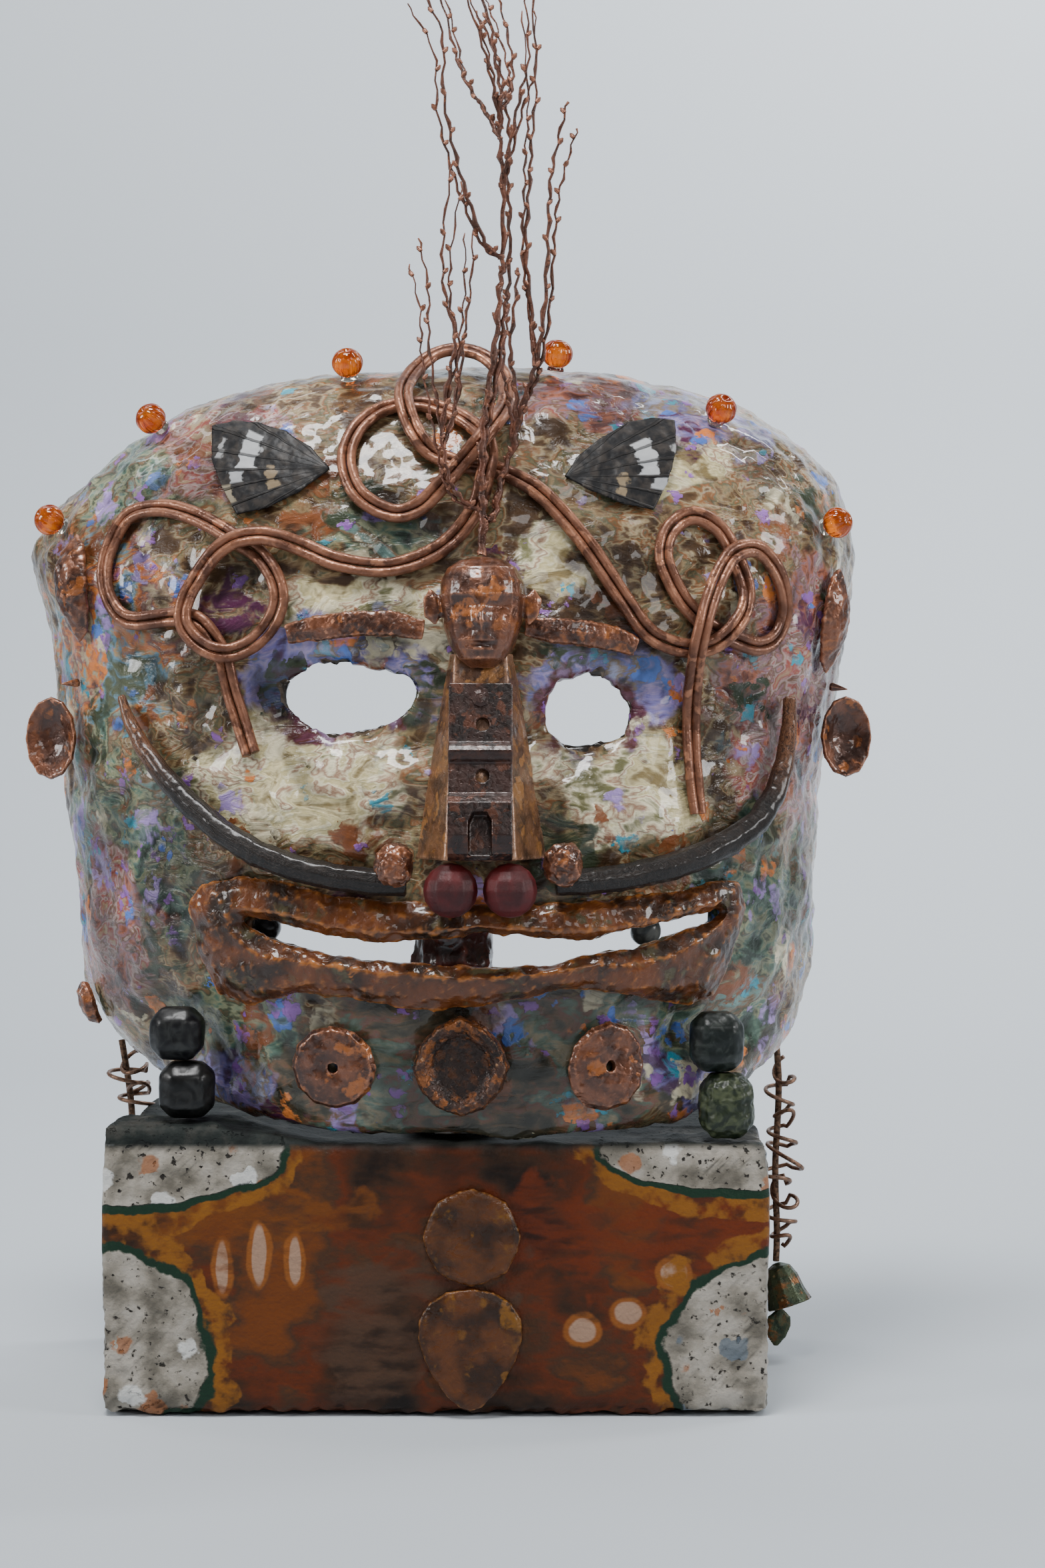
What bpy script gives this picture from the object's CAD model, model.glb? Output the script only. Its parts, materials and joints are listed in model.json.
# %% [markdown]
# A costume mask of painted papier-mache stands on its own painted stone block. The modelled part is loaded
# as a fixed frame: nothing here moves or resizes it. Each piece of it is copied, made finer, pressed with
# the small relief of the real surface and painted.

# %% Load the part and keep its box
import json
import math

import bpy
import numpy as np
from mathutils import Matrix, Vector
from mathutils.bvhtree import BVHTree
from mathutils.kdtree import KDTree

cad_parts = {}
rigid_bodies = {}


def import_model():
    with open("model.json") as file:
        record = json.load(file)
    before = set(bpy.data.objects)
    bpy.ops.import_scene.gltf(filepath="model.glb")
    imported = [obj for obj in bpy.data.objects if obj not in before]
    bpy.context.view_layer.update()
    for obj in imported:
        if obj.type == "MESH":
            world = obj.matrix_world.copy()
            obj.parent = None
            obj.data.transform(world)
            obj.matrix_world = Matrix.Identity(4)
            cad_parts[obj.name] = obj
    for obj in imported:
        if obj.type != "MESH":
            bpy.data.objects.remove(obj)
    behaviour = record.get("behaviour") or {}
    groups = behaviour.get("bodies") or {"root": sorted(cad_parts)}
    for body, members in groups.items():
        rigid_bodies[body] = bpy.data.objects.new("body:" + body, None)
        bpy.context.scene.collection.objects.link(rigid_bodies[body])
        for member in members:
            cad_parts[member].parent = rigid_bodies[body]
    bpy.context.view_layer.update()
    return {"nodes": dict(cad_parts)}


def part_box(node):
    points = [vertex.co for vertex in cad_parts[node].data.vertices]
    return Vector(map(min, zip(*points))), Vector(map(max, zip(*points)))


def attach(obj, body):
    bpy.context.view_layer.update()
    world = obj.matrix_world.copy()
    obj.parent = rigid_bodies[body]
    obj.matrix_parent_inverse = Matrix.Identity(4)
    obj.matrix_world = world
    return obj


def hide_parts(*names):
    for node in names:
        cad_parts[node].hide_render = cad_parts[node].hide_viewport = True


MM = 0.001
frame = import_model()

# %% [markdown]
# The photograph was taken from straight in front, a little to the right of the block's middle and at the
# height of the nose. A camera on the same line, with a short telephoto lens, gives the same outline.

# %% Place the camera
CAMERA_ACROSS = 0.0262
CAMERA_DISTANCE = 0.770
CAMERA_HEIGHT = 0.1904
LENS = 54.7
bpy.ops.object.camera_add(location=(CAMERA_ACROSS, -CAMERA_DISTANCE, CAMERA_HEIGHT),
                          rotation=(math.radians(90), 0, 0))
camera = bpy.context.object
camera.data.lens = LENS
camera.data.clip_start = 0.01
bpy.context.scene.camera = camera
print("camera at", tuple(round(c, 3) for c in camera.location))

# %% [markdown]
# A material is a small net of nodes. A few helpers keep the nets short: one adds a node and fills its
# sockets, the others add the nodes that are used again and again.


# %% Helpers for nodes
def add_node(tree, kind, sockets=None, **settings):
    """Add a node. A socket is named by name or number, and gets a value or another node's output."""
    made = tree.nodes.new(kind)
    for key, value in settings.items():
        setattr(made, key, value)
    for key, value in (sockets or {}).items():
        if isinstance(value, bpy.types.NodeSocket):
            tree.links.new(value, made.inputs[key])
        else:
            made.inputs[key].default_value = value
    return made


def calculate(tree, operation, a, b=0.0):
    return add_node(tree, "ShaderNodeMath", {0: a, 1: b}, operation=operation).outputs[0]


def times(tree, a, b):
    return calculate(tree, "MULTIPLY", a, b)


def plus(tree, a, b):
    return calculate(tree, "ADD", a, b)


def weigh(tree, a, b, share):
    """Add a share of one value to the rest of the share of another."""
    return plus(tree, times(tree, a, share), times(tree, b, 1 - share))


def calculate_vector(tree, operation, a, b):
    return add_node(tree, "ShaderNodeVectorMath", {0: a, 1: b}, operation=operation).outputs[0]


def spread(tree, value, low, high, to_low=0.0, to_high=1.0):
    """Stretch the part of a value between low and high over a new range, with soft ends."""
    sockets = {"Value": value, "From Min": low, "From Max": high, "To Min": to_low, "To Max": to_high}
    return add_node(tree, "ShaderNodeMapRange", sockets, interpolation_type="SMOOTHSTEP").outputs[0]


def blend(tree, share, first, second):
    """Mix two colours."""
    first, second = [(*c, 1) if isinstance(c, tuple) and len(c) == 3 else c for c in (first, second)]
    return add_node(tree, "ShaderNodeMix", {0: share, 6: first, 7: second}, data_type="RGBA").outputs[2]


def darken(tree, colour, share):
    """Multiply a colour by a share that changes over the surface."""
    sockets = {0: 1.0, 6: colour, 7: share}
    return add_node(tree, "ShaderNodeMix", sockets, data_type="RGBA", blend_type="MULTIPLY").outputs[2]


def lumps(tree, vector, scale, detail=4.0, distortion=0.0):
    """Noise with this many lumps to a metre. Its value is output 0, and it has a colour too."""
    sockets = {"Vector": vector, "Scale": scale, "Detail": detail, "Distortion": distortion}
    return add_node(tree, "ShaderNodeTexNoise", sockets).outputs


def speckle(tree, vector, size, detail=4.0, distortion=0.0):
    """Noise whose lumps are this size, in metres."""
    return lumps(tree, vector, 1 / size, detail, distortion)[0]


def stretch(tree, vector, scale):
    """Coordinates scaled along each axis, so that a pattern on them is drawn out into streaks."""
    return add_node(tree, "ShaderNodeMapping", {"Vector": vector, "Scale": scale}).outputs[0]


def axes_of(tree, vector):
    """A vector's three numbers."""
    return add_node(tree, "ShaderNodeSeparateXYZ", {0: vector}).outputs


def palette(tree, value, colours):
    """A row of colours, spaced evenly, that a value from 0 to 1 picks from."""
    ramp = add_node(tree, "ShaderNodeValToRGB", {0: value})
    stops = ramp.color_ramp.elements
    while len(stops) < len(colours):
        stops.new(0.5)
    for i, (stop, colour) in enumerate(zip(stops, colours)):
        stop.position = i / (len(colours) - 1)
        stop.color = (*colour, 1)
    return ramp.outputs[0]


def new_material(name, **values):
    """A material with plain values on its Principled shader, and its Object coordinates."""
    made = bpy.data.materials.new(name)
    made.use_nodes = True
    tree = made.node_tree
    shader = tree.nodes["Principled BSDF"]
    for key, value in values.items():
        shader.inputs[key.replace("_", " ")].default_value = value
    where = add_node(tree, "ShaderNodeTexCoord").outputs["Object"]
    return made, tree, shader, where


def feed(tree, shader, colour, roughness=None):
    """Lead a colour to the shader, and a roughness where it changes over the surface."""
    tree.links.new(colour, shader.inputs["Base Color"])
    if roughness is not None:
        tree.links.new(roughness, shader.inputs["Roughness"])


def raise_bump(tree, shader, height, depth, strength=1.0):
    """Feed a height to the shader's normal. Depth is the height of the highest point, in metres."""
    bump = add_node(tree, "ShaderNodeBump", {"Height": height, "Distance": depth, "Strength": strength})
    tree.links.new(bump.outputs[0], shader.inputs["Normal"])


def standing_out(tree):
    """How far a point of the surface stands out: about 0.5 on a flat, and less in a hollow."""
    return add_node(tree, "ShaderNodeNewGeometry").outputs["Pointiness"]


def wear_mask(tree, low=0.50, high=0.58):
    """Where the surface stands out, so that paint there has worn."""
    return spread(tree, standing_out(tree), low, high)


print("node helpers ready")

# %% [markdown]
# Three effects come back on many surfaces, so each is a node group. Patina is the cloudy, flecked colour of
# painted metal and of wax. Daubs scatters separate dabs of a brush, of which a share shows. Soft patch
# marks a region round a point, with a ragged edge.

# %% Node groups
COLOUR_SOCKETS = ("Main", "Light", "Dark", "Patch")
FLECKS_FINER = 4.3
STAINS_FINER = 3.2
WOBBLE_FINER = 1.9


def new_group(name, inputs, outputs):
    tree = bpy.data.node_groups.new(name, "ShaderNodeTree")
    for direction, sockets in (("INPUT", inputs), ("OUTPUT", outputs)):
        for label, kind in sockets:
            tree.interface.new_socket(name=label, in_out=direction, socket_type=f"NodeSocket{kind}")
    start, end = tree.nodes.new("NodeGroupInput"), tree.nodes.new("NodeGroupOutput")
    return tree, start.outputs, end.inputs


def use_group(tree, group, sockets):
    """Place a group and fill its sockets. A colour is given as three numbers."""
    filled = {key: (*value, 1) if key in COLOUR_SOCKETS else value for key, value in sockets.items()}
    return add_node(tree, "ShaderNodeGroup", filled, node_tree=group).outputs


patina, inside, out = new_group(
    "Patina",
    [("Vector", "Vector"), ("Size", "Float"), ("Main", "Color"), ("Light", "Color"), ("Dark", "Color"),
     ("Patch", "Color"), ("Patch Amount", "Float"), ("Wear", "Float")],
    [("Colour", "Color"), ("Roughness", "Float"), ("Height", "Float")])
scale = calculate(patina, "DIVIDE", 1.0, inside["Size"])
clouds = lumps(patina, inside["Vector"], scale, 5.0)
flecks = lumps(patina, inside["Vector"], times(patina, scale, FLECKS_FINER), 3.0, 0.6)[0]
stains = lumps(patina, clouds["Color"], STAINS_FINER, 3.0, 0.4)[0]
tone = blend(patina, spread(patina, clouds[0], 0.38, 0.62), inside["Dark"], inside["Main"])
edge = calculate(patina, "SUBTRACT", 1.0, inside["Patch Amount"])
stained = spread(patina, calculate(patina, "SUBTRACT", stains, edge), -0.12, 0.06)
tone = blend(patina, stained, tone, inside["Patch"])
worn = times(patina, inside["Wear"], spread(patina, flecks, 0.35, 0.60, 0.35, 1.0))
tone = blend(patina, worn, tone, inside["Light"])
patina.links.new(tone, out["Colour"])
patina.links.new(spread(patina, flecks, 0.3, 0.7, 0.26, 0.52), out["Roughness"])
patina.links.new(flecks, out["Height"])

daubs, inside, out = new_group(
    "Daubs",
    [("Vector", "Vector"), ("Size", "Float"), ("Smear", "Float"), ("Share", "Float"), ("Shift", "Float")],
    [("Mask", "Float"), ("Height", "Float")])
scale = calculate(daubs, "DIVIDE", 1.0, inside["Size"])
place = calculate_vector(daubs, "ADD", inside["Vector"], inside["Shift"])
wobble = lumps(daubs, place, times(daubs, scale, WOBBLE_FINER))
smear = times(daubs, inside["Smear"], inside["Size"])
shift = add_node(daubs, "ShaderNodeVectorMath", {0: wobble["Color"], "Scale": smear}, operation="SCALE")
moved = calculate_vector(daubs, "ADD", place, shift.outputs[0])
cells = add_node(daubs, "ShaderNodeTexVoronoi", {"Vector": moved, "Scale": scale}, feature="F1").outputs
split = add_node(daubs, "ShaderNodeSeparateColor", {0: cells["Color"]}).outputs
chosen = spread(daubs, calculate(daubs, "SUBTRACT", inside["Share"], split[0]), -0.01, 0.01)
blot = spread(daubs, plus(daubs, cells["Distance"], times(daubs, split[1], 0.25)), 0.62, 0.50)
mask_value = times(daubs, chosen, blot)
daubs.links.new(mask_value, out["Mask"])
daubs.links.new(times(daubs, mask_value, wobble[0]), out["Height"])

soft_patch, inside, out = new_group(
    "Soft patch",
    [("Vector", "Vector"), ("Centre", "Vector"), ("Half Size", "Vector"), ("Fray", "Float"),
     ("Ragged", "Float")],
    [("Mask", "Float")])
offset = calculate_vector(soft_patch, "SUBTRACT", inside["Vector"], inside["Centre"])
shares = calculate_vector(soft_patch, "DIVIDE", offset, inside["Half Size"])
reach = add_node(soft_patch, "ShaderNodeVectorMath", {0: shares}, operation="LENGTH").outputs["Value"]
frayed = times(soft_patch, calculate(soft_patch, "SUBTRACT", inside["Fray"], 0.5), inside["Ragged"])
soft_patch.links.new(spread(soft_patch, plus(soft_patch, reach, frayed), 1.12, 0.88), out["Mask"])


def patch_mask(tree, where, centre, half_size, fray, ragged):
    """Where a soft patch lies. Fray is the noise that makes its edge ragged."""
    return use_group(tree, soft_patch, {"Vector": where, "Centre": centre, "Half Size": half_size,
                                        "Fray": fray, "Ragged": ragged})["Mask"]


def scatter(tree, where, size, smear, share, shift):
    """Separate dabs of this size, in metres, of which a share shows."""
    return use_group(tree, daubs, {"Vector": where, "Size": size, "Smear": smear, "Share": share,
                                   "Shift": shift})


print("node groups:", [g.name for g in bpy.data.node_groups])

# %% [markdown]
# Two leather thongs hang free behind the jaw. A cord is a line with a thickness, so each is a curve through
# the same points as the modelled cord, rounded by its bevel.

# %% The thongs
THONG_DIAMETER = 0.0022
THONG_STEPS = 2
THONG_LEFT = [(-0.1090, 0.0335, 0.1042), (-0.1075, 0.0338, 0.0950), (-0.1062, 0.0341, 0.0858),
              (-0.1055, 0.0342, 0.0766), (-0.1053, 0.0340, 0.0675), (-0.1054, 0.0338, 0.0583),
              (-0.1055, 0.0336, 0.0492), (-0.1056, 0.0335, 0.0400)]
THONG_RIGHT = [(0.1108, 0.0240, 0.1040), (0.1116, 0.0243, 0.0936), (0.1115, 0.0242, 0.0833),
               (0.1109, 0.0240, 0.0729), (0.1104, 0.0236, 0.0626), (0.1106, 0.0234, 0.0522),
               (0.1110, 0.0236, 0.0419), (0.1107, 0.0238, 0.0315)]


def smooth_points(points, steps):
    """A smooth open curve through the points, with this many steps between each two."""
    points = [np.array(p, float) for p in points]
    last = len(points) - 1
    out = []
    for i in range(last):
        p0, p1, p2, p3 = [points[min(max(k, 0), last)] for k in (i - 1, i, i + 1, i + 2)]
        for step in range(steps):
            t = step / steps
            out.append(0.5 * (2 * p1 + (p2 - p0) * t + (2 * p0 - 5 * p1 + 4 * p2 - p3) * t * t
                              + (3 * p1 - p0 - 3 * p2 + p3) * t ** 3))
    return out + [points[-1]]


def route_length(points):
    return float(sum(np.linalg.norm(np.subtract(b, a)) for a, b in zip(points, points[1:])))


def line(name, points, thickness, finish, sizes=None, resolution=4):
    """A round bar along points, as a curve object."""
    curve = bpy.data.curves.new(name, "CURVE")
    curve.dimensions = "3D"
    curve.bevel_depth = thickness / 2
    curve.bevel_resolution = resolution
    curve.use_fill_caps = True
    spline = curve.splines.new("POLY")
    spline.points.add(len(points) - 1)
    for i, (point, place) in enumerate(zip(spline.points, points)):
        point.co = (*place, 1)
        point.radius = sizes[i] if sizes else 1
    curve.materials.append(finish)
    made = bpy.data.objects.new(name, curve)
    bpy.context.scene.collection.objects.link(made)
    return made


leather, tree, shader, where = new_material("leather thong", Roughness=0.75, Specular_IOR_Level=0.3)
fibre = speckle(tree, where, 0.0011, 5.0)
feed(tree, shader, blend(tree, spread(tree, fibre, 0.35, 0.65), (0.035, 0.018, 0.010), (0.17, 0.095, 0.055)))
raise_bump(tree, shader, fibre, 0.0003)

thongs = {}
for side, points in (("left", THONG_LEFT), ("right", THONG_RIGHT)):
    places = smooth_points(points, THONG_STEPS)
    thongs[side] = (line(f"hanging_thong_{side}", places, THONG_DIAMETER, leather), places)
    print(side, "thong", round(route_length(places) * 1000, 1), "mm long")

# %% [markdown]
# A loose wire is wound round each thong, with turns that bulge and lean. It is a helix whose reach changes
# on the way down.

# %% The loose wires
COIL_WIRE = 0.0014
COIL_LEFT_REACH = [0.0038, 0.0062, 0.0050, 0.0064]
COIL_RIGHT_REACH = [0.0030, 0.0046, 0.0034, 0.0070, 0.0040, 0.0056, 0.0028]
STEPS_A_TURN = 20
# Where on its thong a wire starts and ends, its turns, how far they reach, and the angle it starts at
COILS = {"left": (0.10, 0.34, 4, COIL_LEFT_REACH, 0.5), "right": (0.10, 0.93, 9, COIL_RIGHT_REACH, 1.0)}
# How far four turns lean, in metres, and how far they bulge, as shares of their reach
TURN_LEANS = (0.0022, -0.0009, 0.0030, 0.0004)
TURN_BULGES = (0.55, -0.25, 0.80, 0.15)
COIL_SET_OFF = 0.2
LEAN_START = 0.8

brown_wire, tree, shader, where = new_material("brown wire", Metallic=0.55)
parts = use_group(tree, patina, {"Vector": where, "Size": 0.004, "Main": (0.13, 0.075, 0.05),
                                 "Light": (0.42, 0.24, 0.15), "Dark": (0.05, 0.03, 0.022),
                                 "Patch": (0.19, 0.09, 0.05), "Patch Amount": 0.5, "Wear": 0.35})
feed(tree, shader, parts["Colour"], parts["Roughness"])
raise_bump(tree, shader, parts["Height"], 0.0001)


def loose_coil(side, first, last, turns, radii, start):
    """A helix round a thong, whose turns differ in reach, lean and bulge."""
    points = thongs[side][1]
    places = []
    steps = turns * STEPS_A_TURN
    for i in range(steps + 1):
        t = i / steps
        along = (first + (last - first) * t) * (len(points) - 1)
        k = min(int(along), len(points) - 2)
        centre = Vector(points[k]).lerp(Vector(points[k + 1]), along - k)
        radius = np.interp(t * (len(radii) - 1), range(len(radii)), radii)
        a = start + 2 * math.pi * turns * t
        turn = int(turns * t)
        lean = TURN_LEANS[turn % 4] * math.sin(a + LEAN_START + turn)
        bulge = TURN_BULGES[turn % 4] * math.sin(math.pi * (turns * t % 1)) ** 2
        across = radius * math.cos(a) + radius * (COIL_SET_OFF + bulge)
        places.append(centre + Vector((across, radius * math.sin(a), lean)))
    return line(f"loose_wire_{side}", places, COIL_WIRE, brown_wire)


def deselect():
    bpy.ops.object.select_all(action="DESELECT")


def select_only(obj):
    deselect()
    obj.select_set(True)
    bpy.context.view_layer.objects.active = obj


def to_mesh(obj):
    """Turn a curve into a mesh, so that its place is in its vertices."""
    select_only(obj)
    bpy.ops.object.convert(target="MESH")
    bpy.ops.object.shade_smooth()
    return bpy.context.object


coils = {side: to_mesh(loose_coil(side, *facts)) for side, facts in COILS.items()}
for side, coil in coils.items():
    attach(coil, "root")
    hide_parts(f"wire_{side}")
print("loose wires:", [c.name for c in coils.values()])

# %% [markdown]
# Every modelled piece has flat faces. To carry fine relief it needs thousands of small faces of one size,
# so a copy is welded, remeshed in small cells and melted: a smoothing that pulls in and pushes out by
# turns, which rounds the facets off and keeps the volume. Small relief is then pressed in with
# displacement.

# %% Helpers for refined pieces
WELD_DISTANCE = 0.000005


def copy_of(node, name):
    """A welded copy of a modelled node, alone and at the origin."""
    select_only(frame["nodes"][node])
    bpy.ops.object.duplicate()
    made = bpy.context.object
    bpy.ops.object.parent_clear(type="CLEAR_KEEP_TRANSFORM")
    made.name = name
    bpy.ops.object.mode_set(mode="EDIT")
    bpy.ops.mesh.select_all(action="SELECT")
    bpy.ops.mesh.remove_doubles(threshold=WELD_DISTANCE)
    bpy.ops.object.mode_set(mode="OBJECT")
    return made


def points_of(obj):
    flat = np.empty(len(obj.data.vertices) * 3)
    obj.data.vertices.foreach_get("co", flat)
    return flat.reshape(-1, 3)


def set_points(obj, points):
    obj.data.vertices.foreach_set("co", points.ravel())
    obj.data.update()


def melt(obj, rounds, pull=0.6, push=-0.615):
    """Round off the facets without shrinking the piece."""
    points = points_of(obj)
    pairs = np.empty(len(obj.data.edges) * 2, int)
    obj.data.edges.foreach_get("vertices", pairs)
    a, b = pairs[0::2], pairs[1::2]
    both, other = np.concatenate([a, b]), np.concatenate([b, a])
    count = np.maximum(np.bincount(both, minlength=len(points)), 1)[:, None]
    for share in (pull, push) * rounds:
        near = np.stack([np.bincount(both, weights=points[other, k], minlength=len(points))
                         for k in range(3)], axis=1) / count
        points += (near - points) * share
    set_points(obj, points)


def press(obj, kind, size, height, middle=0.5, group=None, hard=False):
    """Push the surface in and out by a texture with lumps of this size and height, in metres."""
    texture = bpy.data.textures.new(f"{obj.name} {kind.lower()}", kind)
    texture.noise_scale = size
    if kind == "CLOUDS":
        texture.noise_depth = 3
        texture.noise_type = "HARD_NOISE" if hard else "SOFT_NOISE"
    modifier = obj.modifiers.new("relief", "DISPLACE")
    modifier.texture = texture
    modifier.texture_coords = "LOCAL"
    modifier.strength = height
    modifier.mid_level = middle
    if group:
        modifier.vertex_group = group
    apply_modifier(obj, modifier)


def apply_modifier(obj, modifier):
    select_only(obj)
    bpy.ops.object.modifier_apply(modifier=modifier.name)


def refine(node, cell, rounds, before=None):
    """A finely meshed copy of a node, to stand for it. Before is a step for the copy while it is coarse."""
    made = copy_of(node, f"{node}_finish")
    if before:
        before(made)
    made.data.remesh_voxel_size = cell
    made.data.remesh_voxel_adaptivity = 0
    bpy.ops.object.voxel_remesh()
    melt(made, rounds)
    bpy.ops.object.shade_smooth()
    return made


def hand_over(obj, nodes, finish):
    """Give a finished piece its material, and let it stand for its nodes."""
    obj.data.materials.clear()
    obj.data.materials.append(finish)
    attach(obj, "root")
    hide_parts(*nodes)
    return obj


def mark(obj, name, weight):
    """A vertex group from a function of each point, in metres."""
    group = obj.vertex_groups.new(name=name)
    for i, point in enumerate(points_of(obj)):
        share = weight(*point)
        if share > 0:
            group.add([i], min(share, 1.0), "REPLACE")


print("piece helpers ready")

# %% [markdown]
# The mask is drawn on a grid in millimetres, the same as in the part. Across is measured from the block's
# middle and height from the block's top.

# %% Places on the mask
BLOCK_TOP = 0.0834


def at(x, z, y=-55):
    """A drawn place on the front, in metres."""
    return Vector((x * MM, y * MM, BLOCK_TOP + z * MM))


# %% [markdown]
# The mouth narrows to a slit at its right end, where melting lets the two edges touch. A slanted box cuts
# it open first, in the shell and in the lips.

# %% Open the end of the mouth
MOUTH_END_ACROSS = (50, 81)
MOUTH_END_LOW = (57.2, 64.8)
MOUTH_END_HIGH = (62.4, 68.6)
MOUTH_END_DEPTH = (-0.090, -0.020)


def open_mouth_end(obj):
    deselect()
    bpy.ops.mesh.primitive_cube_add(size=2)
    cutter = bpy.context.object
    corners = points_of(cutter)
    for corner in corners:
        right, behind, upper = (int(c > 0) for c in corner)
        height = (MOUTH_END_LOW, MOUTH_END_HIGH)[upper][right]
        corner[:] = MOUTH_END_ACROSS[right] * MM, MOUTH_END_DEPTH[behind], BLOCK_TOP + height * MM
    set_points(cutter, corners)
    cut = obj.modifiers.new("cut", "BOOLEAN")
    cut.operation = "DIFFERENCE"
    cut.object = cutter
    apply_modifier(obj, cut)
    bpy.data.objects.remove(cutter)
    select_only(obj)
    print(obj.name, "after the cut:", len(obj.data.polygons), "faces")


# %% [markdown]
# The shell is layers of pasted paper, so its surface is a crumpled skin: broad dents and sharp creases. Two
# sizes of displacement make them. The edges of the eye holes were torn, not cut, so two more are pressed in
# there alone.

# %% The mask shell
# Middle across and above, half width, half height
EYES = [(-26, 133, 18.9, 9.7), (45, 129, 11.8, 10.6)]
TORN_MIDDLE, TORN_BREADTH = 1.05, 0.30
# Size and height of the lumps, in metres, whether they have sharp creases, and where they are
MASK_RELIEF = [(0.022, 0.0034, True, None), (0.0090, 0.0010, True, None),
               (0.0075, 0.0060, False, "torn edges"), (0.0030, 0.0026, False, "torn edges")]


def near_eye_edge(x, y, z):
    best = 0.0
    for cx, cz, a, b in EYES:
        reach = math.hypot((x / MM - cx) / a, ((z - BLOCK_TOP) / MM - cz) / b)
        best = max(best, 1 - abs(reach - TORN_MIDDLE) / TORN_BREADTH)
    return best if y < 0.0 else 0.0


mask = refine("mask_shell", 0.0017, 90, open_mouth_end)
mark(mask, "torn edges", near_eye_edge)
for size, height, hard, group in MASK_RELIEF:
    press(mask, "CLOUDS", size, height, group=group, hard=hard)
print("mask:", len(mask.data.polygons), "faces")

# %% [markdown]
# What lies on the mask is set against its real, dented surface. A ray from in front finds the place, and
# four rays round it find which way the surface faces there, evened out over a few millimetres.

# %% Find places on the mask
LAST_FACE_HEIGHT = 231
LEAN_BACK = 0.8
STEEPEST = 0.42
ROUND_ABOUT = ((-4, 0), (4, 0), (0, -4), (0, 4))
face = BVHTree.FromObject(mask, bpy.context.evaluated_depsgraph_get())


def surface_at(x, z, lift=0.0):
    """The place in front of the mask at a drawn place, by a lift in metres, and which way it faces there."""
    beyond = max(z - LAST_FACE_HEIGHT, 0) * MM
    z = min(z, LAST_FACE_HEIGHT)

    def hit(dx, dz):
        return face.ray_cast(Vector(((x + dx) * MM, -1, BLOCK_TOP + (z + dz) * MM)), Vector((0, 1, 0)))

    place, normal, *_ = hit(0, 0)
    around = [hit(*step)[0] for step in ROUND_ABOUT]
    if None not in around:
        normal = (around[1] - around[0]).cross(around[3] - around[2]).normalized()
        place.y = 0.5 * place.y + 0.125 * sum(p.y for p in around)
    lifted = place - Vector((0, lift / max(-normal.y, STEEPEST), 0))
    return lifted + Vector((0, LEAN_BACK * beyond, beyond)), normal


print("middle of the forehead:", surface_at(0, 190)[0])

# %% [markdown]
# The inside of the shell is bare brown paper, so the paint has to know which side it is on. A point is
# inside if it faces the middle of the hollow, and this is stored with each point for the material to read.

# %% Tell the inside of the shell from its outside
HOLLOW_MIDDLE = (0.0, 0.045)
HOLLOW_LOW, HOLLOW_HIGH = 0.130, 0.230
FACE_DEPTH = -0.058
inner = []
for vertex in mask.data.vertices:
    core = Vector((*HOLLOW_MIDDLE, min(max(vertex.co.z, HOLLOW_LOW), HOLLOW_HIGH)))
    inner.append(1.0 if (core - vertex.co).dot(vertex.normal) > 0 and vertex.co.y > FACE_DEPTH else 0.0)
layer = mask.data.attributes.new("inside", "FLOAT", "POINT")
layer.data.foreach_set("value", inner)
print("points inside:", int(sum(inner)), "of", len(inner))

# %% [markdown]
# The paint is many small daubs of a few colours, and each part of the face has its own mix: olive and brown
# on the forehead, blue and violet round the eyes, cream on the cheeks, teal and plum at the jaw. A palette
# for each mix is picked by the daubs, and a soft patch says where it lies. A thick varnish lies over all.

# %% Paint for the mask
OLIVE = [(0.040, 0.020, 0.010), (0.12, 0.070, 0.033), (0.22, 0.155, 0.078), (0.090, 0.090, 0.050),
         (0.19, 0.078, 0.030), (0.30, 0.235, 0.135), (0.10, 0.058, 0.030), (0.052, 0.028, 0.014)]
CREAM = [(0.17, 0.125, 0.052), (0.52, 0.45, 0.26), (0.40, 0.34, 0.17), (0.58, 0.53, 0.36),
         (0.27, 0.155, 0.10), (0.64, 0.58, 0.40), (0.13, 0.125, 0.055)]
VIOLET = [(0.070, 0.035, 0.075), (0.17, 0.15, 0.36), (0.28, 0.22, 0.36), (0.11, 0.12, 0.28),
          (0.18, 0.13, 0.075), (0.25, 0.27, 0.40)]
TEAL = [(0.026, 0.040, 0.028), (0.085, 0.145, 0.105), (0.23, 0.235, 0.14), (0.050, 0.065, 0.042),
        (0.16, 0.095, 0.050), (0.13, 0.22, 0.20)]
SKY = [(0.085, 0.095, 0.055), (0.14, 0.27, 0.36), (0.33, 0.25, 0.14), (0.52, 0.16, 0.040),
       (0.18, 0.085, 0.075), (0.42, 0.33, 0.20)]
PLUM = [(0.075, 0.024, 0.020), (0.30, 0.105, 0.060), (0.24, 0.135, 0.16), (0.14, 0.070, 0.038),
        (0.36, 0.26, 0.24), (0.25, 0.050, 0.040), (0.33, 0.24, 0.14)]
JAW = [(0.026, 0.024, 0.014), (0.058, 0.046, 0.027), (0.12, 0.068, 0.034), (0.14, 0.060, 0.040),
       (0.080, 0.105, 0.072), (0.11, 0.15, 0.115), (0.24, 0.20, 0.125)]
RIM = [(0.050, 0.014, 0.020), (0.11, 0.035, 0.055), (0.070, 0.024, 0.016), (0.18, 0.11, 0.19)]
BARE_PAPER = [(0.050, 0.034, 0.022), (0.13, 0.092, 0.060), (0.085, 0.058, 0.040), (0.19, 0.145, 0.098)]
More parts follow.
